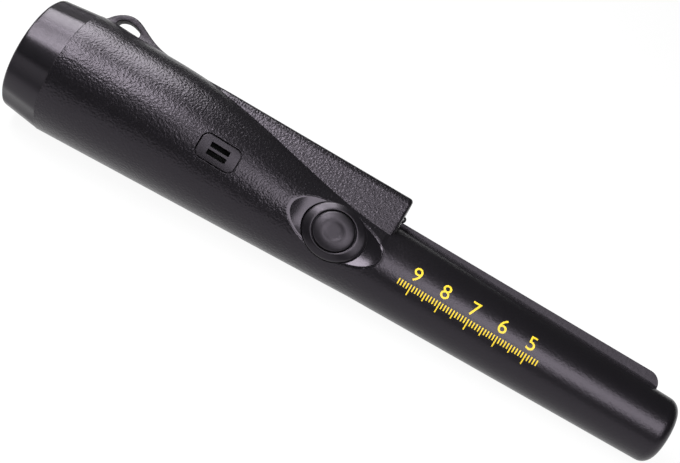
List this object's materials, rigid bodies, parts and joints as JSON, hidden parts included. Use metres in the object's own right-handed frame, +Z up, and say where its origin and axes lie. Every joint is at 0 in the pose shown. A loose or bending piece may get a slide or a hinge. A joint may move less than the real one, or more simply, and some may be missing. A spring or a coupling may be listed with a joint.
{
  "type": "pinpointer",
  "caption": "Handheld metal-detecting probe: textured grip with screw battery cap, lanyard loop, push button, sound slots, lamp hood, and a tapered probe with a scraper blade",
  "frame": {"origin": "under the middle of the tool's box, on the surface it lies on", "axes": "+X towards the probe's tip, which drops a little, +Z up as the tool lies on a bench where it has stopped rolling; the button faces up and to -Y, and the hood, blade and loop up and to +Y"},
  "size_m": [0.2298, 0.0412, 0.0411],
  "materials": {
    "grip_plastic": "leather-grained on the grip, satin on the probe",
    "cap_plastic": "smooth satin",
    "trim_plastic": "fine grain",
    "button_plastic": "smooth satin",
    "bezel_plastic": "semi-gloss",
    "lamp_lens": "smoked moulded dome",
    "black_rubber": "matt",
    "foam": "closed-cell foam",
    "silicone": "cast silicone",
    "battery_jacket": "lacquered jacket",
    "snap_metal": "plated",
    "inner_plastic": "as moulded",
    "contact_board": "bare laminate",
    "circuit_board": "solder mask",
    "screw_steel": "zinc plated",
    "chip_plastic": "moulded epoxy",
    "plunger_plastic": "as moulded",
    "can_aluminium": "drawn can",
    "motor_steel": "drawn can",
    "weight_metal": "sintered",
    "lead_wire": "tinned copper",
    "ferrite": "sintered",
    "copper_winding": "enamelled wire"
  },
  "bodies": {
    "tool": {"housing": "grip_plastic", "lanyard_loop": "trim_plastic", "scraper_blade": "trim_plastic", "battery": "battery_jacket", "battery_terminals": "snap_metal", "battery_contacts": "snap_metal", "contact_plate": "contact_board", "battery_tray": "inner_plastic", "inner_frame": "inner_plastic", "main_board": "circuit_board", "board_screws": "screw_steel", "processor_chip": "chip_plastic", "amplifier_chips": "chip_plastic", "capacitors": "can_aluminium", "power_switch": "chip_plastic", "button_bezel": "bezel_plastic", "button_gasket": "black_rubber", "speaker_grille": "trim_plastic", "speaker_gasket": "black_rubber", "speaker": "chip_plastic", "speaker_pins": "lead_wire", "vibration_motor": "motor_steel", "motor_sleeve": "black_rubber", "motor_leads": "lead_wire", "led_lamp": "lamp_lens", "led_leads": "lead_wire", "coil_bobbin": "inner_plastic", "ferrite_rod": "ferrite", "transmit_winding": "copper_winding", "receive_winding": "copper_winding", "coil_leads": "lead_wire", "nose_pad": "silicone"},
    "button": {"button_cap": "button_plastic"},
    "plunger": {"switch_plunger": "plunger_plastic"},
    "seal": {"cap_seal": "black_rubber"},
    "cap": {"battery_cap": "cap_plastic", "battery_pad": "foam"},
    "rotor": {"motor_shaft": "motor_steel", "motor_weight": "weight_metal"}
  },
  "joints": [
    {"name": "button_press", "type": "slide", "parent": "tool", "child": "button", "axis": [-0.0265, 0.7083, -0.7054], "range_m": [0, 0.0008], "stiffness_N_per_m": 2000, "springref_m": -0.0005},
    {"name": "plunger_press", "type": "slide", "parent": "tool", "child": "plunger", "axis": [-0.0265, 0.7083, -0.7054], "range_m": [0, 0.0008]},
    {"name": "cap_travel", "type": "slide", "parent": "tool", "child": "seal", "axis": [-0.9993, 0, 0.0375], "range_m": [0, 0.006]},
    {"name": "cap_turn", "type": "hinge", "parent": "seal", "child": "cap", "pos_m": [-0.11418, -0.00008, 0.02101], "axis": [-0.9993, 0, 0.0375], "range_deg": [0, 720]},
    {"name": "weight_spin", "type": "hinge", "parent": "tool", "child": "rotor", "pos_m": [-0.02117, 0.00259, 0.01161], "axis": [0.9993, 0, -0.0375], "continuous": true}
  ],
  "couplings": [
    {"joint": "plunger_press", "follows": "button_press", "ratio": 1},
    {"joint": "cap_travel", "follows": "cap_turn", "m_per_rad": 0.00047746}
  ]
}
